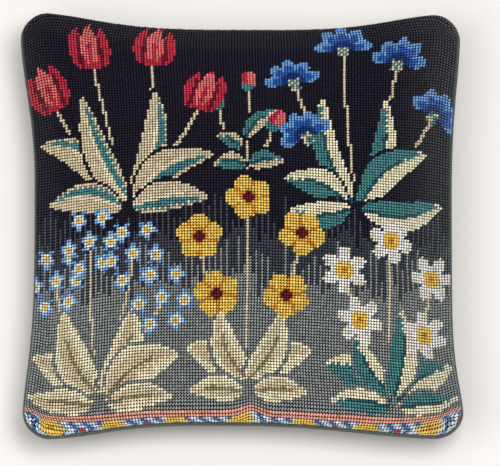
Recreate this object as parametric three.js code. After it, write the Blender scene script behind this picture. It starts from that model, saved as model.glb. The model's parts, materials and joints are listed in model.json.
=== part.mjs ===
// Needlepoint cushion lying on its back, needlepoint face up.
// A stitched canvas panel covers the front, a covered cord is sewn into the seam all round it,
// and a plain cloth back holds the feather filling. Millimetres, +Z up out of the stitched face,
// +Y towards the top edge of the panel, origin under the middle of the cushion on the surface
// that it lies on.
import * as THREE from 'three';

// Driving dimensions
const FRONT_CROWN = 62; // rise of the stitched face over the seam
const SEAM_HEIGHT = 46; // seam above the surface, at the middle of a side
const EAR_LIFT = 7; // how much higher the seam runs at the four ears
const CORNER_RADIUS = 20; // rounded corner of the panel
const PANEL_THICKNESS = 2.6; // canvas with its wool, measured upright
const PANEL_GAP = 0.6; // upright gap under the panel, about 0.3 square to its steepest edge
const BACK_EDGE = 2.6; // back cloth and seam allowance at the rim
const PIPING_DIAMETER = 5;
const PIPING_GAP = 0.4;

// Outline: how far each side lies from the middle at its most drawn-in point and at the ear at
// either end, where along the side, from -1 to 1, it is drawn in most, and how late it swings out
// to either ear
const SIDES = {
  right: { mid: 179.4, startEar: 189.2, endEar: 187.4, inmost: -0.1, startSweep: 2.4, endSweep: 1.9 },
  top: { mid: 173.8, startEar: 188.6, endEar: 187.0, inmost: 0.1, startSweep: 2.0, endSweep: 1.7 },
  left: { mid: 176.4, startEar: 186.2, endEar: 189.4, inmost: 0.15, startSweep: 2.2, endSweep: 1.3 },
  bottom: { mid: 175.2, startEar: 189.2, endEar: 188.6, inmost: -0.12, startSweep: 1.5, endSweep: 1.35 },
};
const EAR_AT = 0.95; // where along a side the ear reaches its full width

// Crown and back
const DOME_POWER = 0.7; // lower is flatter in the middle and steeper at the seam
const DOME_REACH = 0.985; // under 1, so that the cloth leaves the seam at a slope
const EDGE_PUFF = 7; // least rise of the panel beside the seam, ears included
const PUFF_FROM = 4; // distance in from the seam over which it rises
const CONTACT = 0.82; // share of the crown beyond which the back lies flat
const BACK_POWER = 1.6; // how the back rolls up off the surface
const SEAM_HOLD = 6; // how soon, in from the seam, hollows and lumps reach their full depth

// Soft hollows and lumps of the filling, by place, size, turn in degrees and depth; a lump's
// depth is negative
const HOLLOWS = [
  { x: -150, y: 138, length: 42, width: 20, turn: 50, depth: 3.4 },
  { x: 150, y: 140, length: 40, width: 18, turn: -48, depth: 3.0 },
  { x: -142, y: -136, length: 44, width: 20, turn: -42, depth: 3.6 },
  { x: 148, y: -132, length: 46, width: 22, turn: 40, depth: 4.2 },
  { x: 6, y: -158, length: 34, width: 13, turn: 88, depth: 3.2 },
  { x: -78, y: -150, length: 30, width: 15, turn: 80, depth: 2.0 },
  { x: 92, y: -154, length: 30, width: 14, turn: 98, depth: 1.8 },
  { x: -154, y: 46, length: 36, width: 15, turn: 8, depth: 2.6 },
  { x: 156, y: -40, length: 38, width: 16, turn: -6, depth: 2.4 },
  { x: -58, y: 62, length: 70, width: 46, turn: 30, depth: -2.4 },
  { x: 66, y: -46, length: 74, width: 50, turn: -20, depth: -2.8 },
  { x: 40, y: 70, length: 60, width: 38, turn: 60, depth: 1.8 },
];

// Mesh fineness
const CELLS = 32; // grid cells along each side
const CLUSTER = 1.15; // draws the grid lines together towards the seam
const PIPING_SIDES = 8;

// Rounded square, in shares a and b from -1 to 1 of the way from the middle to each side

const cornerShare = CORNER_RADIUS / SIDES.right.startEar;

// Half of one corner arc, the straight, and half of the next arc, for q from -1 to 1
function alongSide(q) {
  const straight = 1 - cornerShare;
  const distance = Math.abs(q) * (straight + (cornerShare * Math.PI) / 4);
  if (distance <= straight) return { along: Math.sign(q) * distance, out: 1 };
  const angle = (distance - straight) / cornerShare;
  return {
    along: Math.sign(q) * (straight + cornerShare * Math.sin(angle)),
    out: straight + cornerShare * Math.cos(angle),
  };
}

// Grid point s, t of the square carried to the rounded square, blended from its four sides
function roundedSquare(s, t) {
  const level = alongSide(s);
  const upright = alongSide(t);
  const corner = 1 - cornerShare + cornerShare * Math.SQRT1_2;
  return {
    a: level.along + s * upright.out - s * corner,
    b: t * level.out + upright.along - t * corner,
  };
}

// Plan outline

function sideReach(side, t) {
  const beyond = t > side.inmost;
  const away = beyond
    ? (t - side.inmost) / (EAR_AT - side.inmost)
    : (side.inmost - t) / (EAR_AT + side.inmost);
  const sweep = beyond ? side.endSweep : side.startSweep;
  const swing = Math.sin((Math.PI / 2) * Math.min(1, away) ** sweep) ** 2;
  const ear = beyond ? side.endEar : side.startEar;
  return side.mid + (ear - side.mid) * swing;
}

function planPoint({ a, b }) {
  return new THREE.Vector2(
    a * sideReach(a > 0 ? SIDES.right : SIDES.left, b),
    b * sideReach(b > 0 ? SIDES.top : SIDES.bottom, a),
  );
}

// Heights

function dome(share) {
  const atSeam = (1 - DOME_REACH ** 2) ** DOME_POWER;
  return ((1 - (DOME_REACH * share) ** 2) ** DOME_POWER - atSeam) / (1 - atSeam);
}

// Fullness of the filling, 1 in the middle and 0 along the seam
function fullness({ a, b }) {
  return dome(a) * dome(b);
}

function seamHeight({ a, b }) {
  return SEAM_HEIGHT + EAR_LIFT * (a * b) ** 2;
}

function hollowDepth(place) {
  return HOLLOWS.reduce((sum, hollow) => {
    const angle = THREE.MathUtils.degToRad(hollow.turn);
    const away = place.clone().sub(new THREE.Vector2(hollow.x, hollow.y));
    away.rotateAround(new THREE.Vector2(), -angle);
    const spread = (away.x / hollow.length) ** 2 + (away.y / hollow.width) ** 2;
    return sum + hollow.depth * Math.exp(-spread);
  }, 0);
}

// Distance in from the rounded seam
function inFromSeam({ a, b }) {
  const pastA = Math.abs(a) - (1 - cornerShare);
  const pastB = Math.abs(b) - (1 - cornerShare);
  const fromArc = Math.hypot(Math.max(pastA, 0), Math.max(pastB, 0));
  const share = cornerShare - fromArc - Math.min(Math.max(pastA, pastB), 0);
  return share * SIDES.right.mid;
}

// Over the seam rise the crown and, all round, a puff, blended as the cube root of their cubes
function panelUnderside(share) {
  const full = fullness(share);
  const puff = EDGE_PUFF * (1 - Math.exp(-((inFromSeam(share) / PUFF_FROM) ** 2)));
  const rise = Math.cbrt((FRONT_CROWN * full) ** 3 + puff ** 3);
  const freeOfSeam = 1 - (1 - full) ** SEAM_HOLD;
  const sunk = hollowDepth(planPoint(share)) * freeOfSeam;
  return seamHeight(share) + PANEL_GAP / 2 + rise - sunk;
}

function panelFace(share) {
  return panelUnderside(share) + PANEL_THICKNESS;
}

function fillingTop(share) {
  return panelUnderside(share) - PANEL_GAP;
}

function backFace(share) {
  const rim = seamHeight(share) - PANEL_GAP / 2 - BACK_EDGE;
  const lift = Math.max(0, 1 - fullness(share) / CONTACT);
  return rim * lift ** BACK_POWER;
}

// Solids

function gridShare(column, row) {
  const spaced = (i) => Math.sin(CLUSTER * ((2 * i) / CELLS - 1)) / Math.sin(CLUSTER);
  return roundedSquare(spaced(column), spaced(row));
}

// Grid corners of the rim, counterclockwise from the lower left corner
function rimCorners() {
  const corners = [];
  for (let i = 0; i < CELLS; i++) corners.push([i, 0]);
  for (let i = 0; i < CELLS; i++) corners.push([CELLS, i]);
  for (let i = CELLS; i > 0; i--) corners.push([i, CELLS]);
  for (let i = CELLS; i > 0; i--) corners.push([0, i]);
  return corners;
}

// Closed body between two height functions on the grid of the rounded square
function layerGeometry(upper, lower) {
  const width = CELLS + 1;
  const positions = [];
  for (const height of [upper, lower]) {
    for (let row = 0; row < width; row++) {
      for (let column = 0; column < width; column++) {
        const share = gridShare(column, row);
        const place = planPoint(share);
        positions.push(place.x, place.y, height(share));
      }
    }
  }
  const below = width * width;
  const at = (column, row) => row * width + column;
  const triangles = [];
  for (let row = 0; row < CELLS; row++) {
    for (let column = 0; column < CELLS; column++) {
      const p = at(column, row);
      const q = at(column + 1, row);
      const r = at(column + 1, row + 1);
      const s = at(column, row + 1);
      // Each cell is split towards the nearest corner, which keeps the ears smooth
      const split = column < CELLS / 2 === row < CELLS / 2 ? [p, q, r, p, r, s] : [p, q, s, q, r, s];
      triangles.push(...split);
      for (let k = 0; k < split.length; k += 3) {
        triangles.push(below + split[k], below + split[k + 2], below + split[k + 1]);
      }
    }
  }
  const rim = rimCorners().map(([column, row]) => at(column, row));
  rim.forEach((here, i) => {
    const next = rim[(i + 1) % rim.length];
    triangles.push(here, below + here, next, next, below + here, below + next);
  });
  const geometry = new THREE.BufferGeometry();
  geometry.setAttribute('position', new THREE.Float32BufferAttribute(positions, 3));
  geometry.setIndex(triangles);
  geometry.computeVertexNormals();
  return geometry;
}

// Middle line of the piping: the seam, moved outwards by the piping's radius and its gap
class PipingLine extends THREE.Curve {
  constructor() {
    super();
    this.shares = rimCorners().map(([column, row]) => gridShare(column, row));
    this.places = this.shares.map(planPoint);
  }

  getPoint(t, target = new THREE.Vector3()) {
    const count = this.places.length;
    const i = Math.round(t * count) % count;
    const before = this.places[(i + count - 1) % count];
    const after = this.places[(i + 1) % count];
    const outwards = new THREE.Vector2(after.y - before.y, before.x - after.x).normalize();
    const place = this.places[i].clone().addScaledVector(outwards, PIPING_DIAMETER / 2 + PIPING_GAP);
    return target.set(place.x, place.y, seamHeight(this.shares[i]));
  }

  // One section stands at each rim corner of the panel, so that the two stay side by side
  getPointAt(t, target) {
    return this.getPoint(t, target);
  }

  getTangentAt(t, target = new THREE.Vector3()) {
    const step = 1 / this.places.length;
    const after = this.getPoint((t + step) % 1);
    const before = this.getPoint((t + 1 - step) % 1);
    return target.copy(after).sub(before).normalize();
  }
}

function pipingGeometry() {
  const line = new PipingLine();
  return new THREE.TubeGeometry(line, line.places.length, PIPING_DIAMETER / 2, PIPING_SIDES, true);
}

// Scene graph

function piece(name, geometry, color, roughness) {
  const mesh = new THREE.Mesh(geometry, new THREE.MeshStandardMaterial({ color, roughness, metalness: 0 }));
  mesh.name = name;
  return mesh;
}

const cushion = new THREE.Group();
cushion.name = 'needlepoint_cushion';
cushion.add(
  piece('needlepoint_panel', layerGeometry(panelFace, panelUnderside), 0x3a3e44, 0.9),
  piece('filled_back', layerGeometry(fillingTop, backFace), 0x2c342f, 0.95),
  piece('piping', pipingGeometry(), 0x47504b, 0.85),
);

export default cushion;
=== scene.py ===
"""Needlepoint cushion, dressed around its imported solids.

Laid out as an add-on and run as a script. Metres, +Z up out of the stitched face, +Y towards the
top edge of the panel, origin under the middle of the cushion on the surface that it lies on.
"""
import json
import math

import bpy
import numpy as np
from bpy.props import FloatProperty, FloatVectorProperty, IntProperty, PointerProperty
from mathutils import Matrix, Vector

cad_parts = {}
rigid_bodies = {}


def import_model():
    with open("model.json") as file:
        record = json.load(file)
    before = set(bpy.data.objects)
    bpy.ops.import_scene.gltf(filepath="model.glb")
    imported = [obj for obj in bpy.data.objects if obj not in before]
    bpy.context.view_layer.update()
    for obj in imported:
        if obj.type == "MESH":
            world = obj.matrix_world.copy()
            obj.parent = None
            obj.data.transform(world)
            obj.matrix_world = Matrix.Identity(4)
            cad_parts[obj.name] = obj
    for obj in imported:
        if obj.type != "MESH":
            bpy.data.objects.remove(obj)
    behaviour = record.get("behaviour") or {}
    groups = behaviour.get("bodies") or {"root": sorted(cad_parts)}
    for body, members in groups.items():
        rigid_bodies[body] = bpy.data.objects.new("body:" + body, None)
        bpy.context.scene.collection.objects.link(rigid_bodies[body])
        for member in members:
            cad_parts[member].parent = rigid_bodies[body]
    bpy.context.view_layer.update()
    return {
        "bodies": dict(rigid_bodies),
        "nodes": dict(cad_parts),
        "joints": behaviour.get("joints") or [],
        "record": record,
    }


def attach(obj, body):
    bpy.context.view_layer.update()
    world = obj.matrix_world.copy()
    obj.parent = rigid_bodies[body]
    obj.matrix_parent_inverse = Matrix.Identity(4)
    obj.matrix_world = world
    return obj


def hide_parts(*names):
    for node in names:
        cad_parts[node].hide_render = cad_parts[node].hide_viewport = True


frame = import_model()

bl_info = {
    "name": "Needlepoint Cushion",
    "version": (1, 0, 0),
    "blender": (4, 5, 0),
    "location": "View3D > Sidebar > Cushion",
    "description": "Builds a piped needlepoint cushion, its stage and its camera",
    "category": "Add Mesh",
}

BODY = "root"
MM = 0.001

# Outline of the seam in millimetres: how far each side lies from the middle where it is drawn in
# most, then at the ear at its start and at its end, where along the side, from -1 to 1, it is
# drawn in most, and how late it swings out to the ear at its start and at its end
RIGHT = (179.4, 189.2, 187.4, -0.10, 2.4, 1.9)
TOP = (173.8, 188.6, 187.0, 0.10, 2.0, 1.7)
LEFT = (176.4, 186.2, 189.4, 0.15, 2.2, 1.3)
BOTTOM = (175.2, 189.2, 188.6, -0.12, 1.5, 1.35)
EAR_AT = 0.95

# Crown and back
DOME_POWER = 0.7
DOME_REACH = 0.985
CONTACT = 0.82
BACK_POWER = 1.6
SEAM_HOLD = 6

# Hollows and lumps of the filling in millimetres: x, y, length, width, turn in degrees, depth
HOLLOWS = (
    (-150, 138, 42, 20, 50, 3.4),
    (150, 140, 40, 18, -48, 3.0),
    (-142, -136, 44, 20, -42, 3.6),
    (148, -132, 46, 22, 40, 4.2),
    (6, -158, 34, 13, 88, 3.2),
    (-78, -150, 30, 15, 80, 2.0),
    (92, -154, 30, 14, 98, 1.8),
    (-154, 46, 36, 15, 8, 2.6),
    (156, -40, 38, 16, -6, 2.4),
    (-58, 62, 70, 46, 30, -2.4),
    (66, -46, 74, 50, -20, -2.8),
    (40, 70, 60, 38, 60, 1.8),
)

# Mesh fineness
PANEL_CELLS = 96
CLUSTER = 1.15
PIPING_STEPS = 160
PIPING_SIDES = 14

# Wool yarns by name: colour, thickness by the common one, share of the colour left under the painted
# shade on the flanks, and what it is used for
YARNS = {
    "night": ("#262331", 0.96, 0.06, "Upper ground"),
    "dusk": ("#4b4e58", 0.96, 0.10, "Hatching between the grounds"),
    "slate": ("#949998", 0.92, 0.08, "Lower ground"),
    "cream": ("#f9e5c4", 1.14, 0.48, "Light side of the leaves"),
    "sage": ("#d8c8a6", 1.14, 0.48, "Dark side of the leaves, and stems"),
    "olive": ("#9a8e6c", 1.12, 0.45, "Leaf ribs"),
    "teal": ("#4f8a8e", 1.06, 0.35, "Green leaves"),
    "deep_teal": ("#2f5d63", 1.06, 0.35, "Ribs of the green leaves"),
    "navy": ("#223a7c", 1.06, 0.35, "Hearts of the cornflowers"),
    "royal": ("#3263b4", 1.06, 0.35, "Cornflowers"),
    "cornflower": ("#6fa3dc", 1.06, 0.35, "Tips of the cornflowers"),
    "sky": ("#9ac6ec", 1.1, 0.42, "Small florets"),
    "ice": ("#dbe8f5", 1.14, 0.5, "Light on the small florets and border"),
    "white": ("#fffaee", 1.12, 0.48, "Star flowers"),
    "ivory": ("#ece2c4", 1.12, 0.45, "Shading of the star flowers"),
    "gold": ("#f4c75f", 1.16, 0.5, "Marigolds and border"),
    "amber": ("#d79433", 1.1, 0.40, "Shading of the marigolds"),
    "crimson": ("#c8354a", 1.06, 0.35, "Tulips"),
    "rose": ("#ea7474", 1.06, 0.40, "Light on the tulips"),
    "maroon": ("#6e2030", 1.06, 0.30, "Folds of the tulips"),
    "coral": ("#e3a08c", 1.12, 0.45, "Line above the border"),
    "denim": ("#86a3cf", 1.14, 0.48, "Border"),
    "ink": ("#4a5f92", 1.12, 0.45, "Streaks of the border"),
}
YARN_INDEX = {name: index for index, name in enumerate(YARNS)}


def linear(hex_colour):
    """Linear RGB of an sRGB hex colour, by the sRGB curve."""
    srgb = np.array([int(hex_colour[i:i + 2], 16) for i in (1, 3, 5)]) / 255
    return tuple(np.where(srgb <= 0.04045, srgb / 12.92, ((srgb + 0.055) / 1.055) ** 2.4).tolist())


# Settings


def length(name, description, default):
    return FloatProperty(name=name, description=description, default=default, unit="LENGTH", precision=4)


def colour(name, description, hex_colour):
    return FloatVectorProperty(
        name=name, description=description, default=linear(hex_colour), subtype="COLOR", min=0, max=1
    )


class CushionForm(bpy.types.PropertyGroup):
    front_crown: length("Front crown", "Rise of the stitched face over the seam", 62 * MM)
    seam_height: length("Seam height", "Seam above the surface, at the middle of a side", 46 * MM)
    ear_lift: length("Ear lift", "How much higher the seam runs at the ears", 7 * MM)
    corner_radius: length("Corner radius", "Rounded corner of the panel", 20 * MM)
    panel_thickness: length("Panel thickness", "Canvas with its wool", 2.6 * MM)
    panel_gap: length("Panel gap", "Upright gap between panel and filling", 0.6 * MM)
    back_edge: length("Back edge", "Back cloth and seam allowance at the rim", 2.6 * MM)
    piping_diameter: length("Piping diameter", "Covered cord in the seam", 5 * MM)
    piping_gap: length("Piping gap", "Gap between panel and piping", 0.4 * MM)
    roll: length("Roll", "How far the panel rolls out over the seam", 8.3 * MM)
    roll_from: length("Roll from", "Distance in from the seam where it rolls out most", 5.5 * MM)
    puff: length("Puff", "Least rise of the panel beside the seam, ears included", 7 * MM)
    puff_from: length("Puff from", "Distance in from the seam over which it rises", 4 * MM)


class CushionStitching(bpy.types.PropertyGroup):
    count: IntProperty(name="Stitches across", description="Canvas threads across the panel", default=156)
    loft: length("Loft", "Height of a stitch over the canvas", 1.1 * MM)
    plumpness: FloatProperty(name="Plumpness", description="Width of a stitch by its length", default=0.55)
    gather: FloatProperty(name="Gather", description="Pull of the rows at the sides", default=0.045)
    unevenness: FloatProperty(name="Unevenness", description="Spread of the stitches' sizes", default=0.09)
    seed: IntProperty(name="Seed", description="Start of the random unevenness", default=7)


class CushionYarns(bpy.types.PropertyGroup):
    __annotations__ = {
        name: colour(name.replace("_", " ").capitalize(), use, hex_colour)
        for name, (hex_colour, _, _, use) in YARNS.items()
    }


class CushionCloths(bpy.types.PropertyGroup):
    # Near black canvas, as painted shade in the gaps between the stitches
    canvas: colour("Canvas", "Canvas between the stitches", "#08070b")
    # Grey of the painted sheen that the wool takes near the seam and on the lit right side
    sheen_grey: colour("Sheen_grey", "Wool that is rubbed grey", "#8b9290")
    piping: colour("Piping", "Bias-cut cloth over the cord", "#515a56")
    back: colour("Back", "Cloth of the back", "#39433f")


class CushionStage(bpy.types.PropertyGroup):
    floor: colour("Floor", "Matt pale floor", "#ebe7e4")
    elevation: FloatProperty(
        name="Elevation",
        description="Camera above the horizon",
        default=math.radians(74.6),
        subtype="ANGLE",
    )
    distance: length("Distance", "Camera to its aim", 12.0)
    frame_width: length("Frame width", "Width of the picture at the aim", 0.439)
    aim: FloatVectorProperty(
        name="Aim", description="Point at the middle of the picture", default=(0.0075, -0.0067, 0.05),
        subtype="TRANSLATION", unit="LENGTH",
    )


class CushionSettings(bpy.types.PropertyGroup):
    form: PointerProperty(type=CushionForm, name="Form", description="Sizes of the cushion")
    stitching: PointerProperty(type=CushionStitching, name="Stitching", description="Tent stitches")
    yarns: PointerProperty(type=CushionYarns, name="Yarns", description="Colours of the wool")
    cloths: PointerProperty(type=CushionCloths, name="Cloths", description="Colours of the cloths")
    stage: PointerProperty(type=CushionStage, name="Stage", description="Floor and camera")


# Shape of the cushion, in shares a and b from -1 to 1 of the way from the middle to each side


def side_reach(side, t):
    """Reach of a side at t along it, in metres: drawn in most at one point, from where it swings
    out by a squared sine to the ear at either end, the later the higher the power of t."""
    mid, start_ear, end_ear, inmost, start_sweep, end_sweep = side
    beyond = t > inmost
    away = np.where(beyond, (t - inmost) / (EAR_AT - inmost), (inmost - t) / (EAR_AT + inmost))
    swing = np.sin(np.pi / 2 * np.minimum(1, away) ** np.where(beyond, end_sweep, start_sweep)) ** 2
    return (mid + (np.where(beyond, end_ear, start_ear) - mid) * swing) * MM


def plan(a, b):
    """Plan place of shares a and b: each share times the reach of its side there."""
    x = a * np.where(a > 0, side_reach(RIGHT, b), side_reach(LEFT, b))
    y = b * np.where(b > 0, side_reach(TOP, a), side_reach(BOTTOM, a))
    return x, y


def dome(share):
    """Crown across one direction, 1 in the middle and 0 at the seam: one minus the square, to a
    power that flattens the middle, cut off where it meets the seam at a slope."""
    at_seam = (1 - DOME_REACH ** 2) ** DOME_POWER
    return ((1 - (DOME_REACH * share) ** 2) ** DOME_POWER - at_seam) / (1 - at_seam)


def seam_height(form, a, b):
    """Height of the seam: level along the sides, lifted at the ears by the square of a times b."""
    return form.seam_height + form.ear_lift * (a * b) ** 2


def hollow_depth(x, y):
    """Depth of the filling's hollows: a sum of turned oval bells."""
    depth = np.zeros_like(x)
    for place_x, place_y, long, wide, turn, deep in HOLLOWS:
        angle = math.radians(turn)
        dx = x / MM - place_x
        dy = y / MM - place_y
        along = dx * math.cos(angle) + dy * math.sin(angle)
        across = dy * math.cos(angle) - dx * math.sin(angle)
        depth += deep * MM * np.exp(-((along / long) ** 2) - (across / wide) ** 2)
    return depth


def past_straights(form, a, b):
    """How far shares a and b lie past the straight part of the sides, the distance that makes from
    the middle of the corner arc, and the arc's radius as a share."""
    rounding = form.corner_radius / (RIGHT[1] * MM)
    past_a = np.abs(a) - (1 - rounding)
    past_b = np.abs(b) - (1 - rounding)
    from_arc = np.hypot(np.maximum(past_a, 0), np.maximum(past_b, 0))
    return past_a, past_b, from_arc, rounding


def in_from_seam(form, a, b):
    """Distance in from the rounded seam, and the level direction out to it near the seam: inside a
    corner arc both come from the arc's middle, and beside a straight from that side alone."""
    past_a, past_b, from_arc, rounding = past_straights(form, a, b)
    share = rounding - from_arc - np.minimum(np.maximum(past_a, past_b), 0)
    steep = np.maximum(from_arc, 1e-9)
    out_a = np.sign(a) * np.maximum(past_a, 0) / steep
    out_b = np.sign(b) * np.maximum(past_b, 0) / steep
    return share * RIGHT[0] * MM, out_a, out_b


def held_in(form, a, b):
    """Shares a and b, drawn back to the seam where they lie outside its rounded corners."""
    past_a, past_b, from_arc, rounding = past_straights(form, a, b)
    back = np.maximum(0, 1 - rounding / np.maximum(from_arc, 1e-9))
    return (
        a - np.sign(a) * np.maximum(past_a, 0) * back,
        b - np.sign(b) * np.maximum(past_b, 0) * back,
    )


def panel_underside(form, a, b):
    """Underside of the panel: over the seam rises the cube root of two cubes, the crown times both
    domes and a puff all round that grows by one less a bell of the distance in. The hollows come
    off, and fade out at the seam."""
    full = dome(a) * dome(b)
    distance, _, _ = in_from_seam(form, a, b)
    puff = form.puff * (1 - np.exp(-((np.maximum(distance, 0) / form.puff_from) ** 2)))
    rise = np.cbrt((form.front_crown * full) ** 3 + puff ** 3)
    sunk = hollow_depth(*plan(a, b)) * (1 - (1 - full) ** SEAM_HOLD)
    return seam_height(form, a, b) + form.panel_gap / 2 + rise - sunk


def roll_out(form, a, b):
    """Plan move of the panel, which rises beside the piping and rolls out over it: by q times the
    exponential of one less q, where q is the square of the distance in from the seam by the
    distance at which it rolls out most."""
    distance, out_a, out_b = in_from_seam(form, a, b)
    q = (np.maximum(distance, 0) / form.roll_from) ** 2
    out = form.roll * q * np.exp(1 - q)
    return out * out_a, out * out_b


def panel_surface(form, a, b, lift):
    """Points of the panel at a height over its underside, rolled out over the seam."""
    x, y = plan(a, b)
    out_x, out_y = roll_out(form, a, b)
    return np.stack([x + out_x, y + out_y, panel_underside(form, a, b) + lift], axis=-1)


def grid_normals(points):
    """Unit normals of a grid of points: the cross product of its two directions."""
    normals = np.cross(np.gradient(points, axis=1), np.gradient(points, axis=0))
    return normals / np.linalg.norm(normals, axis=-1, keepdims=True)


def back_face(form, a, b):
    """Face of the back: the rim's height times a power of how far the crown falls short of the
    share beyond which the back lies flat."""
    rim = seam_height(form, a, b) - form.panel_gap / 2 - form.back_edge
    lift = np.maximum(0, 1 - dome(a) * dome(b) / CONTACT)
    return rim * lift ** BACK_POWER


def rounded_square(form, s, t):
    """Square grid point s, t carried to the rounded square: each side is half a corner arc, a
    straight and half the next arc, and the inside is blended from the four sides."""
    rounding = form.corner_radius / (RIGHT[1] * MM)
    straight = 1 - rounding

    def along_side(q):
        distance = np.abs(q) * (straight + rounding * np.pi / 4)
        angle = np.maximum(0, distance - straight) / rounding
        along = np.minimum(distance, straight) + rounding * np.sin(angle)
        return np.sign(q) * along, straight + rounding * np.cos(angle)

    level, level_out = along_side(s)
    upright, upright_out = along_side(t)
    corner = straight + rounding * math.sqrt(0.5)
    return level + s * (upright_out - corner), upright + t * (level_out - corner)


def share_grid(form, cells):
    """Shares on a grid of cells by cells, drawn together towards the seam by a sine."""
    spaced = np.sin(CLUSTER * np.linspace(-1, 1, cells + 1)) / math.sin(CLUSTER)
    return rounded_square(form, *np.meshgrid(spaced, spaced))


# Meshes


def grid_quads(rows, columns, closed_rows=False, closed_columns=False):
    """Quads between neighbours of a grid of points, counterclockwise seen from its upper side."""
    index = np.arange(rows * columns).reshape(rows, columns)
    if closed_rows:
        index = np.concatenate([index, index[:1]])
    if closed_columns:
        index = np.concatenate([index, index[:, :1]], axis=1)
    quads = np.stack([index[:-1, :-1], index[:-1, 1:], index[1:, 1:], index[1:, :-1]], axis=-1)
    return quads.reshape(-1, 4)


def rim_indices(width):
    """Indices of a square grid's rim, counterclockwise from its first corner."""
    index = np.arange(width * width).reshape(width, width)
    return np.concatenate([index[0, :-1], index[:-1, -1], index[-1, :0:-1], index[:0:-1, 0]])


def closed_layer(upper, lower):
    """Points and quads of a closed body between two square grids of points."""
    width = len(upper)
    below = width * width
    top = grid_quads(width, width)
    rim = rim_indices(width)
    after = np.roll(rim, -1)
    wall = np.stack([rim, rim + below, after + below, after], axis=1)
    points = np.concatenate([upper.reshape(-1, 3), lower.reshape(-1, 3)])
    return points, [np.concatenate([top, top[:, ::-1] + below, wall])]


def make_piece(name, points, faces, material, slot, maps=None, marks=None):
    """Object at the origin with these points and faces, shaded smooth. maps holds UV maps with one
    entry a point or a corner, and marks numbers with one a point. It rides on the cushion's body."""
    mesh = bpy.data.meshes.new(name)
    corners = np.concatenate([face.ravel() for face in faces]).astype(np.int32)
    sizes = np.concatenate([np.full(len(face), face.shape[1]) for face in faces])
    starts = np.concatenate([[0], np.cumsum(sizes)[:-1]]).astype(np.int32)
    mesh.vertices.add(len(points))
    mesh.vertices.foreach_set("co", points.astype(np.float32).ravel())
    mesh.loops.add(len(corners))
    mesh.loops.foreach_set("vertex_index", corners)
    mesh.polygons.add(len(sizes))
    mesh.polygons.foreach_set("loop_start", starts)
    mesh.polygons.foreach_set("use_smooth", np.ones(len(sizes), bool))
    for map_name, places in (maps or {}).items():
        layer = mesh.uv_layers.new(name=map_name)
        at_corners = places if len(places) == len(corners) else places[corners]
        layer.uv.foreach_set("vector", at_corners.astype(np.float32).ravel())
    for mark_name, values in (marks or {}).items():
        mark = mesh.attributes.new(mark_name, "FLOAT", "POINT")
        mark.data.foreach_set("value", values.astype(np.float32))
    mesh.update(calc_edges=True)
    mesh.materials.append(material)
    piece = bpy.data.objects.new(name, mesh)
    bpy.context.scene.collection.objects.link(piece)
    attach(piece, BODY)
    return piece


# Materials


def add_node(tree, kind, inputs=None, **settings):
    """Add a node with its settings. Each input is given a value, or the socket that it is linked to."""
    node = tree.nodes.new(kind)
    for key, value in settings.items():
        setattr(node, key, value)
    for key, value in (inputs or {}).items():
        if isinstance(value, bpy.types.NodeSocket):
            tree.links.new(value, node.inputs[key])
        else:
            node.inputs[key].default_value = value
    return node


def new_material(name):
    """Empty node material, with its tree and its shader."""
    material = bpy.data.materials.new(name)
    material.use_nodes = True
    tree = material.node_tree
    tree.nodes.clear()
    shader = add_node(tree, "ShaderNodeBsdfPrincipled")
    add_node(tree, "ShaderNodeOutputMaterial", {"Surface": shader.outputs["BSDF"]})
    return material, tree, shader


def shaded(rgb, factor):
    """A colour made lighter or darker, with full alpha."""
    return (*(min(1.0, channel * factor) for channel in rgb), 1.0)


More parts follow.
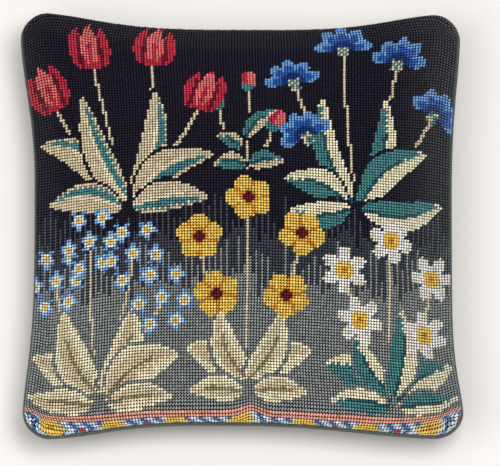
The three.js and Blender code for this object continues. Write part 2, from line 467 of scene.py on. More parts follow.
def wool_yarn(name, rgb, flank_light, sheen_grey_rgb):
    """Two-ply worsted wool, dyed in the hank: matt and a little hairy, with painted shade down the flanks
    and at the ends of each stitch, the twist of the plies across it, no two stitches quite alike, and a
    painted grey sheen where it is marked. The map runs from -1 to 1 along and across."""
    material, tree, shader = new_material(f"{name}_wool")
    fibre_size = 0.4 * MM
    plies_across = 3.0
    place = add_node(tree, "ShaderNodeTexCoord").outputs["Object"]
    stitch = add_node(tree, "ShaderNodeUVMap", uv_map="stitch").outputs["UV"]
    dye = add_node(tree, "ShaderNodeAttribute", attribute_name="dye").outputs["Fac"]
    fibres = add_node(
        tree, "ShaderNodeTexNoise", {"Vector": place, "Scale": 1 / fibre_size, "Detail": 2.0}
    )
    tone = add_node(
        tree, "ShaderNodeMix", {0: 0.35, 2: dye, 3: fibres.outputs["Fac"]}, data_type="FLOAT"
    )
    lit = add_node(
        tree,
        "ShaderNodeMix",
        {0: tone.outputs[0], 6: shaded(rgb, 0.74), 7: shaded(rgb, 1.26)},
        data_type="RGBA",
    )
    # Painted shade: the colour darkens down the flanks and at the ends of each stitch, to the share of
    # colour that the yarn leaves there
    from_middle = add_node(tree, "ShaderNodeVectorMath", {0: stitch}, operation="LENGTH").outputs["Value"]
    flank_shade = add_node(
        tree,
        "ShaderNodeMapRange",
        {"Value": from_middle, "From Min": 0.62, "From Max": 1.0},
        interpolation_type="SMOOTHSTEP",
    )
    blend = add_node(
        tree,
        "ShaderNodeMix",
        {0: flank_shade.outputs["Result"], 6: lit.outputs[2], 7: shaded(rgb, flank_light)},
        data_type="RGBA",
    )
    # Painted sheen: the wool is mixed towards grey where marked, near the seam and along the lit right
    # side
    wear = add_node(tree, "ShaderNodeAttribute", attribute_name="wear").outputs["Fac"]
    sheen_grey = add_node(
        tree,
        "ShaderNodeMix",
        {0: wear, 6: blend.outputs[2], 7: shaded(sheen_grey_rgb, 1.0)},
        data_type="RGBA",
    )
    tree.links.new(sheen_grey.outputs[2], shader.inputs["Base Color"])
    plies = add_node(
        tree,
        "ShaderNodeTexWave",
        {"Vector": stitch, "Scale": plies_across / 20, "Distortion": 1.0},
        bands_direction="DIAGONAL",
    )
    bump = add_node(
        tree, "ShaderNodeBump", {"Height": plies.outputs["Fac"], "Strength": 0.35, "Distance": 0.2 * MM}
    )
    tree.links.new(bump.outputs["Normal"], shader.inputs["Normal"])
    shader.inputs["Roughness"].default_value = 0.92
    shader.inputs["Specular IOR Level"].default_value = 0.03
    shader.inputs["Sheen Weight"].default_value = 0.02
    shader.inputs["Sheen Roughness"].default_value = 0.3
    return material


def cotton_canvas(rgb):
    """Sized cotton canvas, coloured near black as painted shade between the stitches: only its threads
    show, as a dull ground there.
    """
    material, tree, shader = new_material("cotton_canvas")
    place = add_node(tree, "ShaderNodeTexCoord").outputs["Object"]
    slub = add_node(tree, "ShaderNodeTexNoise", {"Vector": place, "Scale": 1 / (3 * MM)})
    blend = add_node(
        tree,
        "ShaderNodeMix",
        {0: slub.outputs["Fac"], 6: shaded(rgb, 0.6), 7: shaded(rgb, 1.2)},
        data_type="RGBA",
    )
    tree.links.new(blend.outputs[2], shader.inputs["Base Color"])
    shader.inputs["Roughness"].default_value = 0.95
    shader.inputs["Specular IOR Level"].default_value = 0.02
    return material


def woven_cotton(name, rgb, thread, turn):
    """Plain woven cotton, piece dyed: a fine grid of threads over and under each other, matt, with
    slightly uneven threads. The map is in metres, and the weave is drawn coarser than the real
    half millimetre so that it shows."""
    material, tree, shader = new_material(name)
    cloth = add_node(tree, "ShaderNodeUVMap", uv_map="cloth").outputs["UV"]
    turned = add_node(
        tree, "ShaderNodeMapping", {"Vector": cloth, "Rotation": (0, 0, math.radians(turn))}
    ).outputs["Vector"]
    waves = [
        add_node(
            tree,
            "ShaderNodeTexWave",
            {"Vector": turned, "Scale": 1 / (thread * 20), "Distortion": 1.5, "Detail": 1.0},
            bands_direction=direction,
        ).outputs["Fac"]
        for direction in ("X", "Y")
    ]
    weave = add_node(tree, "ShaderNodeMath", {0: waves[0], 1: waves[1]}, operation="MULTIPLY").outputs[0]
    place = add_node(tree, "ShaderNodeTexCoord").outputs["Object"]
    fading = add_node(tree, "ShaderNodeTexNoise", {"Vector": place, "Scale": 1 / (18 * MM), "Detail": 3.0})
    tone = add_node(
        tree, "ShaderNodeMix", {0: 0.65, 2: weave, 3: fading.outputs["Fac"]}, data_type="FLOAT"
    )
    blend = add_node(
        tree,
        "ShaderNodeMix",
        {0: tone.outputs[0], 6: shaded(rgb, 0.68), 7: shaded(rgb, 1.32)},
        data_type="RGBA",
    )
    tree.links.new(blend.outputs[2], shader.inputs["Base Color"])
    bump = add_node(tree, "ShaderNodeBump", {"Height": weave, "Strength": 0.5, "Distance": 0.25 * MM})
    tree.links.new(bump.outputs["Normal"], shader.inputs["Normal"])
    shader.inputs["Roughness"].default_value = 0.9
    shader.inputs["Specular IOR Level"].default_value = 0.2
    shader.inputs["Sheen Weight"].default_value = 0.15
    return material


def painted_board(rgb):
    """Matt painted board: even and pale, with a faint mottle."""
    material, tree, shader = new_material("painted_board")
    place = add_node(tree, "ShaderNodeTexCoord").outputs["Object"]
    mottle = add_node(tree, "ShaderNodeTexNoise", {"Vector": place, "Scale": 1 / (60 * MM)})
    blend = add_node(
        tree,
        "ShaderNodeMix",
        {0: mottle.outputs["Fac"], 6: shaded(rgb, 0.99), 7: shaded(rgb, 1.01)},
        data_type="RGBA",
    )
    tree.links.new(blend.outputs[2], shader.inputs["Base Color"])
    shader.inputs["Roughness"].default_value = 0.9
    return material


# Stitched design, charted in stitches across and up from the lower left corner

HATCH_AT = 62
CORAL_ROWS = (7, 9)
BORDER_REPEAT = 22
# Yarns of a leaf's rim, heart and rib, and between which shares of its half width the heart lies
CREAM_LEAF = ("cream", "sage", "olive", -0.62, 0.45)
MIXED_LEAF = ("cream", "teal", "deep_teal", -1.0, 0.12)
GREEN_LEAF = ("sage", "teal", "deep_teal", -1.0, 0.35)
STRIPED_LEAF = ("sage", "teal", "cream", 0.2, 0.85)


class Chart:
    """Yarn of each stitch. A motif marks the stitches inside its formula with its yarns."""

    def __init__(self, count, rng):
        self.across, self.up = np.meshgrid(np.arange(count) + 0.5, np.arange(count) + 0.5)
        self.yarn = np.full((count, count), YARN_INDEX["night"])
        self.ground = self.yarn
        self.rng = rng

    def work(self, mask, yarn):
        self.yarn[mask] = YARN_INDEX[yarn]

    def around(self, place, turn):
        """Distances to the side of a place and along its turned upright, in stitches."""
        angle = math.radians(turn)
        dx = self.across - place[0]
        dy = self.up - place[1]
        side = dx * math.cos(angle) + dy * math.sin(angle)
        along = dy * math.cos(angle) - dx * math.sin(angle)
        return side, along

    def round(self, place, turn, size):
        """Distance from a place as a share of size, and the angle from its turned upright."""
        side, along = self.around(place, turn)
        return np.hypot(side, along) / size, np.arctan2(side, along)


def work_ground(chart):
    """Dark above and slate below, run into each other by upright hatching of uneven length."""
    count = len(chart.yarn)
    edge = HATCH_AT + chart.rng.uniform(-3, 3, count)
    long_hatch = chart.rng.uniform(4, 17, count)
    short_hatch = chart.rng.uniform(-4, 2, count)
    hatch = np.where(np.arange(count) % 2 == 0, long_hatch, short_hatch)
    chart.work(chart.up < edge + 6 + np.maximum(hatch, 0), "dusk")
    chart.work(chart.up < edge - 10 + 0.9 * hatch, "slate")
    chart.ground = chart.yarn.copy()


def work_stem(chart, foot, head, bow, yarn):
    """One stitch wide along a quadratic curve whose middle is bowed out by a share of its length."""
    foot = np.array(foot, float)
    head = np.array(head, float)
    way = head - foot
    control = (foot + head) / 2 + bow * np.array([-way[1], way[0]])
    t = np.linspace(0, 1, 400)[:, None]
    points = (1 - t) ** 2 * foot + 2 * t * (1 - t) * control + t ** 2 * head
    cells = np.clip(points.astype(int), 0, len(chart.yarn) - 1)
    chart.yarn[cells[:, 1], cells[:, 0]] = YARN_INDEX[yarn]


def work_leaf(chart, root, tip, width, bow, yarns):
    """Bowed lens: half its width times a sine of the share of the way, with a heart of a second
    yarn that is hatched into the rim, and a rib that ends short of the tip. The ground shows all
    round it, so that it stands clear of what is behind."""
    rim, heart, rib, heart_low, heart_high = yarns
    way = np.subtract(tip, root)
    long = np.hypot(*way)
    side, along = chart.around(root, math.degrees(math.atan2(-way[0], way[1])))
    share = np.clip(along / long, 0, 1)
    side = side - bow * long * np.sin(np.pi * share)
    half = width / 2 * np.sin(np.pi * share ** 0.8) ** 0.7
    inside = (along >= 0) & (along <= long) & (np.abs(side) <= half)
    beside = (along >= -1) & (along <= long + 1) & (np.abs(side) <= half + 1.2)
    hatch = np.floor(along) % 2
    in_heart = (side >= heart_low * half) & (side <= heart_high * half - hatch) & (share < 0.92)
    chart.yarn[beside] = chart.ground[beside]
    chart.work(inside, rim)
    chart.work(inside & in_heart, heart)
    chart.work(inside & (np.abs(side) <= 0.55) & (share < 0.7), rib)


def work_bud(chart, head, turn, size):
    """Small oval bud in a green cup."""
    side, along = chart.around(head, turn)
    oval = np.hypot(side / (0.34 * size), (along - 0.45 * size) / (0.6 * size)) < 1
    chart.work(oval, "rose")
    chart.work(oval & (side < -0.05 * size), "crimson")
    chart.work(oval & (along < 0.3 * size), "teal")


def work_tulip(chart, head, turn, size):
    """Oval cup cut off by three pointed tips, with a lighter petal in front."""
    side, along = chart.around(head, turn)
    x = side / (0.46 * size)
    y = along / size
    oval = np.abs(x) <= np.sqrt(np.clip(1 - ((y - 0.45) / 0.62) ** 2, 0, 1))
    cup = (y >= -0.05) & oval & (y <= 0.74 + 0.3 * np.abs(np.cos(1.5 * np.pi * x)))
    petal = cup & (np.abs(x) <= 0.46 * np.sin(np.pi * np.clip(y / 1.02, 0, 1)) ** 0.7)
    chart.work(cup, "crimson")
    chart.work(petal, "rose")
    chart.work(petal & (np.abs(x) < 0.1) & (y < 0.6), "crimson")
    chart.work(cup & (np.abs(np.abs(x) - 0.5) < 0.09) & (y < 0.75), "maroon")


def work_cornflower(chart, head, turn, size):
    """Fan with a toothed rim on a chequered cup."""
    side, along = chart.around(head, turn)
    radius, angle = chart.round(head, turn, size)
    rim = 0.74 + 0.26 * np.abs(np.cos(4.5 * angle))
    fan = (np.abs(angle) < math.radians(100)) & (radius < rim)
    cup = (np.abs(side) < 0.2 * size) & (along > -0.34 * size) & (along < 0.12 * size)
    chart.work(fan, "royal")
    chart.work(fan & (radius > rim - 0.26), "cornflower")
    chart.work(fan & (radius < 0.42), "navy")
    chart.work(cup, "teal")
    chart.work(cup & (np.floor(side) % 2 == np.floor(along) % 2), "sage")


def work_florets(chart, head, turn, size):
    """Spray of small florets round the head of a stem, each of five petals with a pale ring and a
    gold eye."""
    for dx, dy in ((0, 1), (-8, -1), (8, 0), (-4, -8), (5, -7), (-4, 9), (5, 9)):
        place = (head[0] + dx, head[1] + dy)
        radius, angle = chart.round(place, turn + 9 * dx, size)
        floret = radius < 0.78 + 0.26 * np.cos(5 * angle)
        chart.work(floret, "sky")
        chart.work(floret & (radius > 0.72), "cornflower")
        chart.work(radius < 0.5, "ice")
        chart.work(radius < 0.26, "gold")


def work_marigold(chart, head, turn, size):
    """Rosette of five round petals with dark folds between them."""
    radius, angle = chart.round(head, turn, size)
    rosette = radius < 0.8 + 0.2 * np.abs(np.cos(2.5 * angle))
    fold = (np.abs(np.cos(2.5 * angle)) < 0.26) & (radius > 0.3)
    chart.work(rosette, "gold")
    chart.work(rosette & fold, "amber")
    chart.work(radius < 0.34, "amber")
    chart.work(radius < 0.2, "maroon")


def work_star(chart, head, turn, size):
    """Six broad petals, shaded at their tips, round a gold eye."""
    radius, angle = chart.round(head, turn, size)
    star = radius < 0.42 + 0.58 * np.abs(np.cos(3 * angle)) ** 0.8
    shaded_tip = (radius > 0.72) & (np.sin(3 * angle) > 0.1)
    chart.work(star, "white")
    chart.work(star & shaded_tip, "ivory")
    chart.work(radius < 0.36, "gold")
    chart.work(radius < 0.16, "amber")


def work_border(chart):
    """Coral line over a strip of blue and white chevrons, with gold lozenges and red spots by
    turns."""
    low, high = CORAL_ROWS
    # The repeat sits above the strip's middle, because its lowest rows turn under the edge
    middle = 0.62 * low
    strip = chart.up < low
    streak = (chart.across + 0.8 * np.abs(chart.up - middle)) % 5
    beside = chart.across % BORDER_REPEAT - BORDER_REPEAT / 2
    lozenge = np.abs(beside) * 0.8 + np.abs(chart.up - middle)
    spot = np.hypot(BORDER_REPEAT / 2 - np.abs(beside), chart.up - middle)
    chart.work(chart.up < high, "coral")
    chart.work(strip, "denim")
    chart.work(strip & (streak < 1), "ink")
    chart.work(strip & (streak > 1.8) & (streak < 4.2), "ice")
    chart.work(strip & (lozenge < 4.4), "gold")
    chart.work(strip & (lozenge < 1.2), "amber")
    chart.work(strip & (spot < 1.1), "crimson")


# Plants: bloom and its size, foot, yarns of the leaves, heads as x, y, bow and turn of the stem,
# and leaves as the places of root and tip, width and bow
PLANTS = (
    (
        work_bud, 8, (79, 92), GREEN_LEAF,
        ((70, 116, 0.14, 16), (80, 124, -0.04, -4), (88, 108, -0.18, -26)),
        (
            (78, 100, 69, 105, 6, 0.10), (79, 104, 90, 116, 6, -0.10), (79, 94, 68, 94, 7, 0.12),
            (80, 94, 92, 96, 7, -0.12),
        ),
    ),
    (
        work_tulip, 16, (38, 82), STRIPED_LEAF,
        (
            (12, 118, 0.12, 16), (27, 134, 0.04, 6), (48, 136, -0.06, -6), (63, 116, -0.12, -18),
        ),
        (
            (36, 82, 5, 106, 13, 0.14), (38, 82, 22, 122, 10, -0.08), (40, 82, 48, 124, 10, 0.08),
            (40, 82, 68, 98, 12, -0.14), (36, 80, 8, 84, 11, 0.10), (40, 80, 66, 82, 11, -0.08),
        ),
    ),
    (
        work_cornflower, 10, (117, 82), MIXED_LEAF,
        (
            (96, 128, 0.10, 14), (113, 143, 0.02, 0), (132, 136, -0.08, -12), (146, 116, -0.14, -30),
            (100, 106, 0.12, 30),
        ),
        (
            (116, 82, 106, 122, 9, -0.10), (118, 82, 128, 122, 9, 0.10), (119, 82, 144, 102, 12, -0.14),
            (114, 82, 92, 90, 11, 0.12), (119, 80, 150, 84, 11, 0.10), (115, 80, 94, 78, 10, -0.10),
        ),
    ),
    (
        work_florets, 3.7, (28, 16), CREAM_LEAF,
        ((11, 56, 0.12, 0), (24, 68, 0.04, 0), (40, 62, -0.06, 0), (50, 46, -0.14, 0)),
        (
            (27, 14, 4, 30, 15, 0.14), (28, 16, 14, 46, 12, -0.10), (30, 16, 40, 44, 12, 0.10),
            (31, 14, 56, 28, 15, -0.12), (26, 12, 4, 14, 9, 0.06), (32, 12, 54, 13, 9, -0.06),
        ),
    ),
    (
        work_marigold, 8, (80, 20), CREAM_LEAF,
        (
            (63, 68, 0.12, 0), (80, 82, 0.02, 20), (98, 70, -0.10, 40), (69, 48, 0.10, 10),
            (93, 48, -0.10, 30),
        ),
        (
            (79, 18, 59, 30, 13, 0.12), (80, 18, 70, 42, 10, -0.10), (81, 18, 102, 30, 13, -0.12),
            (80, 18, 92, 42, 10, 0.10), (78, 14, 60, 15, 9, 0.08), (82, 14, 100, 15, 9, -0.08),
        ),
    ),
    (
        work_star, 8.5, (130, 16), MIXED_LEAF,
        (
            (113, 58, 0.10, 0), (130, 70, 0.02, 15), (146, 58, -0.12, 30), (119, 41, 0.10, 20),
            (143, 38, -0.10, 10),
        ),
        (
            (129, 14, 107, 26, 14, 0.14), (131, 14, 152, 26, 14, -0.14), (130, 16, 118, 36, 9, -0.10),
            (130, 16, 134, 46, 10, 0.10), (128, 12, 108, 13, 8, 0.06), (132, 12, 152, 13, 8, -0.06),
        ),
    ),
)


def charted_design(count, seed):
    """Yarn index of each stitch of the panel."""
    chart = Chart(count, np.random.default_rng(seed))
    work_ground(chart)
    for bloom, size, foot, leaf_yarns, heads, leaves in PLANTS:
        for x, y, bow, _ in heads:
            work_stem(chart, foot, (x, y), bow, "sage")
        for root_x, root_y, tip_x, tip_y, width, bow in leaves:
            work_leaf(chart, (root_x, root_y), (tip_x, tip_y), width, bow, leaf_yarns)
        for x, y, _, turn in heads:
            bloom(chart, (x, y), turn, size)
    work_border(chart)
    return chart.yarn


# Stitched panel


EVENING_ROUNDS = 4


def evened(values, points):
    """Values along the rows of a grid, spaced anew so that the points come evenly along each row:
    the arc length is added up and turned round, with the rows set end to end."""
    steps = np.linalg.norm(np.diff(points, axis=1), axis=-1)
    reached = np.concatenate([np.zeros((len(steps), 1)), np.cumsum(steps, axis=1)], axis=1)
    row = 2 * np.arange(len(steps))[:, None]
    along = reached / reached[:, -1:] + row
    even = np.linspace(0, 1, along.shape[1]) + row
    return np.interp(even, along.ravel(), values.ravel())


# Rows beside the lower edge, in shares: how far its middle runs down into the seam, the reach of
# that, where along the edge the ends turn up instead, and the place, width and drop of a pucker
LOWER_DROP = 0.0125
LOWER_REACH = 0.22
TURN_UP_AT = 0.82
PUCKER_AT = 0.05
PUCKER_WIDTH = 0.05
PUCKER_DROP = -0.010

# Painted grey sheen of the wool near the seam and on the side the light comes from, from 0 to 1, and its
# reach in from the seam all round and from the right side
RIM_SHEEN = 0.09
RIM_REACH = 13 * MM
SIDE_SHEEN = 0.15
SIDE_REACH = 32 * MM


def lower_drop(a, b):
    """How far the rows run down beside the lower edge: a bell of the distance up from it, times one
    less a fourth power along it, with a second bell for the pucker."""
    along = LOWER_DROP * (1 - (a / TURN_UP_AT) ** 4)
    pucker = PUCKER_DROP * np.exp(-(((a - PUCKER_AT) / PUCKER_WIDTH) ** 2))
    return (along + pucker) * np.exp(-(((1 + b) / LOWER_REACH) ** 2))


def painted_sheen_share(form, a, b):
    """Share of painted grey sheen on the wool, where it turns away near the seam and on the lit right
    side: a bell of the distance in from the seam, and a wider one of the distance in from the right side."""
    distance, _, _ = in_from_seam(form, a, b)
    from_right = (1 - a) * RIGHT[0] * MM
    rim = RIM_SHEEN * np.exp(-((distance / RIM_REACH) ** 2))
    side = SIDE_SHEEN * np.exp(-((from_right / SIDE_REACH) ** 2))
    return rim + side


def cell_middles(values):
    """Mean of the four corners of each cell of a grid."""
    return (values[:-1, :-1] + values[1:, :-1] + values[:-1, 1:] + values[1:, 1:]) / 4


def canvas_holes(form, stitching):
    """Points of the canvas holes, at the top of the canvas, and the shares of the cells' middles: a
    square grid with its columns and rows evened by turns over the crown and the rolled edge, then
    the rows gathered towards the middle at the sides and dropped at the lower edge, and the holes
    outside the seam drawn back to it."""
    line = np.linspace(-1, 1, stitching.count + 1)
    a, b = np.meshgrid(line, line)
    top = form.panel_thickness - stitching.loft
    for _ in range(EVENING_ROUNDS):
        a = evened(a, panel_surface(form, a, b, top))
        b = evened(b.T, panel_surface(form, a, b, top).transpose(1, 0, 2)).T
    b = b - np.sign(b) * stitching.gather * np.abs(a) ** 10 * np.abs(b) ** 4 * (1 - np.abs(b) ** 12)
    b = b - lower_drop(a, b)
    return panel_surface(form, *held_in(form, a, b), top), cell_middles(a), cell_middles(b)


def middle_length(points):
    """Length of the middle column of a grid of points."""
    column = points[:, points.shape[1] // 2]
    return np.linalg.norm(np.diff(column, axis=0), axis=1).sum()


# One stitch: a spindle of three sections with four corners each and a tip at either end, which
# dives into its hole. Along and across are shares of half the cell's diagonals, up of the loft
SECTION_ALONG = (-0.52, 0.0, 0.52)
SECTION_WIDTH = (0.86, 1.0, 0.86)
SECTION_LOFT = (0.80, 1.0, 0.80)
CORNER_ACROSS = (-1.0, -0.62, 0.62, 1.0)
CORNER_UP = (-0.20, 1.0, 1.0, -0.20)
TIP_ALONG = 0.94
TIP_UP = -0.40


def stitch_template():
    """Along, across and up of one stitch's points, and its triangles and quads."""
    along = np.append(np.repeat(SECTION_ALONG, 4), [-TIP_ALONG, TIP_ALONG])
    across = np.append(np.outer(SECTION_WIDTH, CORNER_ACROSS).ravel(), [0, 0])
    up = np.append(np.outer(SECTION_LOFT, CORNER_UP).ravel(), [TIP_UP, TIP_UP])
    quads = grid_quads(3, 4, closed_columns=True)
    corner = np.arange(4)
    after = np.roll(corner, -1)
    start = np.stack([np.full(4, 12), after, corner], axis=1)
    end = np.stack([np.full(4, 13), corner + 8, after + 8], axis=1)
    return along, across, up, np.concatenate([start, end]), quads


def stitched_yarn(name, holes, rows, columns, sizes, wear, stitching, cloths, rgb):
    """One joined piece of all the stitches in a yarn. Each runs from the lower left hole of its
    cell to the upper right one, and the template is carried onto the cell's diagonals."""
    along, across, up, triangles, quads = stitch_template()
    low = holes[rows, columns]
    high = holes[rows + 1, columns + 1]
    left = holes[rows + 1, columns]
    right = holes[rows, columns + 1]
    middle = (low + high + left + right) / 4
    lengthwise = (high - low) / 2
    crosswise = (right - left) / 2
    normal = np.cross(crosswise, lengthwise)
    normal /= np.linalg.norm(normal, axis=1, keepdims=True)
    width, loft, slant, dye = (sizes[rows, columns, k][:, None] for k in range(4))
    _, thickness, flank_light, _ = YARNS[name]
    sideways = across * stitching.plumpness * thickness * width + along * slant
    points = (
        middle[:, None]
        + along[None, :, None] * lengthwise[:, None]
        + sideways[:, :, None] * crosswise[:, None]
        + (up * loft)[:, :, None] * stitching.loft * normal[:, None]
    )
    count = len(rows)
    shift = (np.arange(count) * len(along))[:, None, None]
    faces = [(triangles + shift).reshape(-1, 3), (quads + shift).reshape(-1, 4)]
    stitch_map = np.broadcast_to(np.stack([along / TIP_ALONG, across], axis=1), (count, len(along), 2))
    patch = math.ceil(math.sqrt(count))
    corner = np.stack([np.arange(count) % patch, np.arange(count) // patch], axis=1)
    spread = np.stack([along / TIP_ALONG, across], axis=1) * 0.42 + 0.5
    patch_map = (corner[:, None] + spread) / patch
    marks = {
        "dye": np.repeat(dye[:, 0], len(along)),
        "wear": np.repeat(wear[rows, columns], len(along)),
    }
    maps = {"stitch": stitch_map.reshape(-1, 2), "OFBake": patch_map.reshape(-1, 2)}
    material = wool_yarn(name, rgb, flank_light, cloths.sheen_grey)
    return make_piece(
        f"stitches_{name}", points.reshape(-1, 3), faces, material, "needlepoint_wool", maps, marks
    )


class CUSHION_OT_panel(bpy.types.Operator):
    """Make the canvas of the panel and its tent stitches, one joined piece for each yarn"""

    bl_idname = "cushion.panel"
    bl_label = "Stitched panel"

    def execute(self, context):
        settings = context.scene.cushion
        form = settings.form
        stitching = settings.stitching
        count = stitching.count
        canvas_thickness = form.panel_thickness - stitching.loft
        upper = panel_surface(form, *share_grid(form, PANEL_CELLS), canvas_thickness)
        lower = upper - grid_normals(upper) * canvas_thickness
        canvas = make_piece(
            "needlepoint_canvas", *closed_layer(upper, lower), cotton_canvas(settings.cloths.canvas),
            "needlepoint_wool",
        )
        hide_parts("needlepoint_panel")
        holes, a, b = canvas_holes(form, stitching)
        distance, _, _ = in_from_seam(form, a, b)
        # Painted grey sheen near the seam and along the lit right side
        wear = painted_sheen_share(form, a, b)
        yarn = charted_design(count, stitching.seed)
        rng = np.random.default_rng(stitching.seed)
        spread = np.clip(rng.normal(0, 1, (count, count, 4)), -2, 2)
        sizes = spread * stitching.unevenness * (1, 1.5, 1, 0) + (1, 1, 0, 0)
        sizes[..., 3] = 0.5 + 0.28 * spread[..., 3]
        for name, index in YARN_INDEX.items():
            rows, columns = np.nonzero((yarn == index) & (distance > 0))
            rgb = getattr(settings.yarns, name)
            stitched_yarn(name, holes, rows, columns, sizes, wear, stitching, settings.cloths, rgb)
        flat = (middle_length(holes.transpose(1, 0, 2)), middle_length(holes))
        return {"FINISHED"}


# Piping


def seam_line(form, steps):
    """Shares along the seam, counterclockwise from the lower left corner, with steps to a side."""
    q = np.linspace(-1, 1, steps, endpoint=False)
    one = np.ones(steps)
    s = np.concatenate([q, one, -q, -one])
    t = np.concatenate([-one, q, one, -q])
    return rounded_square(form, s, t)


def carried_ring(line, radius, sides):
    """Points of a round profile carried along a closed line: at each point the ring stands on the
    level outward direction and on the upright square to the line, and runs downwards from outside."""
    ahead = np.roll(line, -1, axis=0) - np.roll(line, 1, axis=0)
    ahead /= np.linalg.norm(ahead, axis=1, keepdims=True)
    outward = np.cross(ahead, (0, 0, 1))
    outward /= np.linalg.norm(outward, axis=1, keepdims=True)
    upright = np.cross(outward, ahead)
    angle = np.linspace(0, 2 * np.pi, sides, endpoint=False)
    arm = outward[:, None] * np.cos(angle)[:, None] - upright[:, None] * np.sin(angle)[:, None]
    return line[:, None] + arm * radius[:, :, None]


def level_outward(x, y):
    """Level unit vectors square to a closed plan line, pointing out of it."""
    dx = np.roll(x, -1) - np.roll(x, 1)
    dy = np.roll(y, -1) - np.roll(y, 1)
    size = np.hypot(dx, dy)
    return dy / size, -dx / size


class CUSHION_OT_piping(bpy.types.Operator):
    """Make the covered cord that is sewn into the seam all round"""

    bl_idname = "cushion.piping"
    bl_label = "Piping"

    def execute(self, context):
        settings = context.scene.cushion
        form = settings.form
        a, b = seam_line(form, PIPING_STEPS)
        x, y = plan(a, b)
        out_x, out_y = level_outward(x, y)
        away = form.piping_diameter / 2 + form.piping_gap
        line = np.stack([x + out_x * away, y + out_y * away, seam_height(form, a, b)], axis=-1)
        radius = np.full((len(line), PIPING_SIDES), form.piping_diameter / 2)
        points = carried_ring(line, radius, PIPING_SIDES)
        steps = np.linalg.norm(np.roll(line, -1, axis=0) - line, axis=1)
        run = np.concatenate([[0], np.cumsum(steps)])
        around = np.linspace(0, math.pi * form.piping_diameter, PIPING_SIDES + 1)
        cloth = np.stack(np.meshgrid(around, run)[::-1], axis=-1).reshape(-1, 2)
        cloth_map = cloth[grid_quads(len(line) + 1, PIPING_SIDES + 1).ravel()]
        faces = [grid_quads(len(line), PIPING_SIDES, True, True)]
        material = woven_cotton("bias_cotton", settings.cloths.piping, 1.3 * MM, 45)
        piping = make_piece(
            "piping_cord", points.reshape(-1, 3), faces, material, "piping_cloth", {"cloth": cloth_map}
        )
        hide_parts("piping")
        return {"FINISHED"}


# Filled back


def run_from_middle(points):
    """Metres along the rows of a grid of points, counted from its middle column."""
    steps = np.linalg.norm(np.diff(points, axis=1), axis=-1)
    run = np.concatenate([np.zeros((len(steps), 1)), np.cumsum(steps, axis=1)], axis=1)
    middle = points.shape[1] // 2
    return run - run[:, middle:middle + 1]


SETTLE_FRAMES = 20
PRESSURE = 4.0
SPARE_CLOTH = 0.025
MOST_MOVE = 6 * MM


def settled(points, faces, held):
    """Points of a closed body after its filling has pressed on its cloth in a cloth simulation. The
    cloth is cut larger by a share, and the held points stay. The moves fade out towards a cap by a
    hyperbolic tangent, and none goes below the floor."""
    scene = bpy.context.scene
    mesh = bpy.data.meshes.new("settling")
    mesh.from_pydata(points, [], np.concatenate(faces))
    body = bpy.data.objects.new("settling", mesh)
    scene.collection.objects.link(body)
    body.vertex_groups.new(name="held").add(np.nonzero(held)[0].tolist(), 1.0, "REPLACE")
    cloth = body.modifiers.new("cloth", "CLOTH")
    cloth.point_cache.frame_end = SETTLE_FRAMES
    cloth.settings.use_pressure = True
    cloth.settings.uniform_pressure_force = PRESSURE
    cloth.settings.effector_weights.gravity = 0
    cloth.settings.vertex_group_mass = "held"
    cloth.settings.shrink_min = -SPARE_CLOTH
    for frame in range(1, SETTLE_FRAMES + 1):
        scene.frame_set(frame)
    pressed = body.evaluated_get(bpy.context.evaluated_depsgraph_get()).data
    after = np.empty(points.size, np.float32)
    pressed.vertices.foreach_get("co", after)
    bpy.data.objects.remove(body)
    bpy.data.meshes.remove(mesh)
    scene.frame_set(1)
    move = after.reshape(-1, 3) - points
    far = np.maximum(np.linalg.norm(move, axis=1, keepdims=True), 1e-9)
    new = points + move * np.tanh(far / MOST_MOVE) * MOST_MOVE / far
    new[:, 2] = np.maximum(new[:, 2], 0)
    return new


class CUSHION_OT_back(bpy.types.Operator):
    """Make the filled back, flat where it rests"""

    bl_idname = "cushion.back"
    bl_label = "Filled back"

    def execute(self, context):
        settings = context.scene.cushion
        form = settings.form
        a, b = share_grid(form, PANEL_CELLS)
        x, y = plan(a, b)
        upper = np.stack([x, y, panel_underside(form, a, b) - form.panel_gap], axis=-1)
        lower = np.stack([x, y, back_face(form, a, b)], axis=-1)
        points, faces = closed_layer(upper, lower)
        width = len(lower)
        held = np.ones(len(points), bool)
        held[width * width:] = False
        held[rim_indices(width) + width * width] = True
        points = settled(points, faces, held)
        cloth = np.stack([run_from_middle(lower), run_from_middle(lower.transpose(1, 0, 2)).T], axis=-1)
        cloth_map = np.tile(cloth.reshape(-1, 2), (2, 1))
        material = woven_cotton("back_cotton", settings.cloths.back, 1.6 * MM, 0)
        back = make_piece("back_cover", points, faces, material, "back_cloth", {"cloth": cloth_map})
        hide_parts("filled_back")
        return {"FINISHED"}


# Stage

FLOOR_SIZE = 40.0
LIGHTS = (
    # name, place, size and power
    ("key_light", (1.2, -0.5, 6.6), 2.8, 265),
    ("fill_light", (-2.8, -2.0, 6.0), 4.8, 155),
)


def aimed(place, target):
    """Rotation that points a light or camera from place to target."""
    return (Vector(target) - Vector(place)).to_track_quat("-Z", "Y").to_euler()


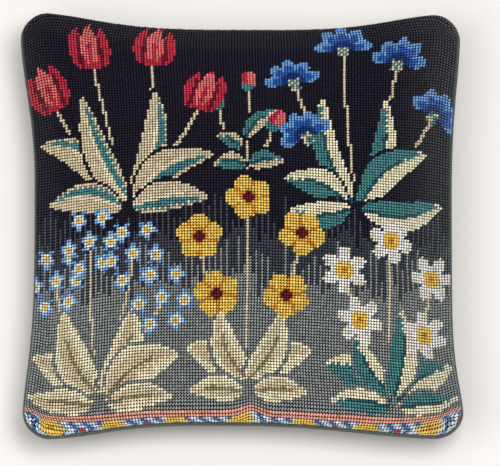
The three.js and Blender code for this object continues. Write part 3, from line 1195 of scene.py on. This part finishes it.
class CUSHION_OT_stage(bpy.types.Operator):
    """Make the pale floor, the soft lights and the camera"""

    bl_idname = "cushion.stage"
    bl_label = "Stage"

    def execute(self, context):
        scene = context.scene
        stage = scene.cushion.stage
        half = FLOOR_SIZE / 2
        mesh = bpy.data.meshes.new("floor")
        corners = [(-half, -half, 0), (half, -half, 0), (half, half, 0), (-half, half, 0)]
        mesh.from_pydata(corners, [], [(0, 1, 2, 3)])
        mesh.materials.append(painted_board(stage.floor))
        floor = bpy.data.objects.new("floor", mesh)
        scene.collection.objects.link(floor)
        for name, place, size, power in LIGHTS:
            light = bpy.data.lights.new(name, "AREA")
            light.size = size
            light.energy = power
            lamp = bpy.data.objects.new(name, light)
            lamp.location = place
            lamp.rotation_euler = aimed(place, (0, 0, 0))
            lamp.visible_camera = False
            scene.collection.objects.link(lamp)
        world = bpy.data.worlds.new("soft_room")
        world.use_nodes = True
        world.node_tree.nodes["Background"].inputs["Color"].default_value = (1.0, 0.985, 0.97, 1.0)
        world.node_tree.nodes["Background"].inputs["Strength"].default_value = 0.43
        scene.world = world
        camera = bpy.data.cameras.new("camera")
        camera.lens = camera.sensor_width * stage.distance / stage.frame_width
        camera.clip_end = 4 * stage.distance
        view = bpy.data.objects.new("camera", camera)
        back = Vector((0, -math.cos(stage.elevation), math.sin(stage.elevation)))
        view.location = Vector(stage.aim) + back * stage.distance
        view.rotation_euler = aimed(view.location, stage.aim)
        scene.collection.objects.link(view)
        scene.camera = view
        scene.view_settings.view_transform = "Standard"
        return {"FINISHED"}


OPERATORS = (CUSHION_OT_stage, CUSHION_OT_panel, CUSHION_OT_piping, CUSHION_OT_back)


class CUSHION_PT_sidebar(bpy.types.Panel):
    bl_idname = "CUSHION_PT_sidebar"
    bl_label = "Needlepoint Cushion"
    bl_space_type = "VIEW_3D"
    bl_region_type = "UI"
    bl_category = "Cushion"

    def draw(self, context):
        settings = context.scene.cushion
        for operator in OPERATORS:
            self.layout.operator(operator.bl_idname)
        for group in (settings.form, settings.stitching, settings.yarns, settings.cloths, settings.stage):
            box = self.layout.box()
            for name in group.__annotations__:
                box.prop(group, name)


CLASSES = (
    CushionForm,
    CushionStitching,
    CushionYarns,
    CushionCloths,
    CushionStage,
    CushionSettings,
    *OPERATORS,
    CUSHION_PT_sidebar,
)


def register():
    for item in CLASSES:
        bpy.utils.register_class(item)
    bpy.types.Scene.cushion = PointerProperty(type=CushionSettings)


def unregister():
    del bpy.types.Scene.cushion
    for item in reversed(CLASSES):
        bpy.utils.unregister_class(item)


def main():
    register()
    bpy.ops.cushion.stage()
    bpy.ops.cushion.panel()
    bpy.ops.cushion.piping()
    bpy.ops.cushion.back()


if __name__ == "__main__":
    main()
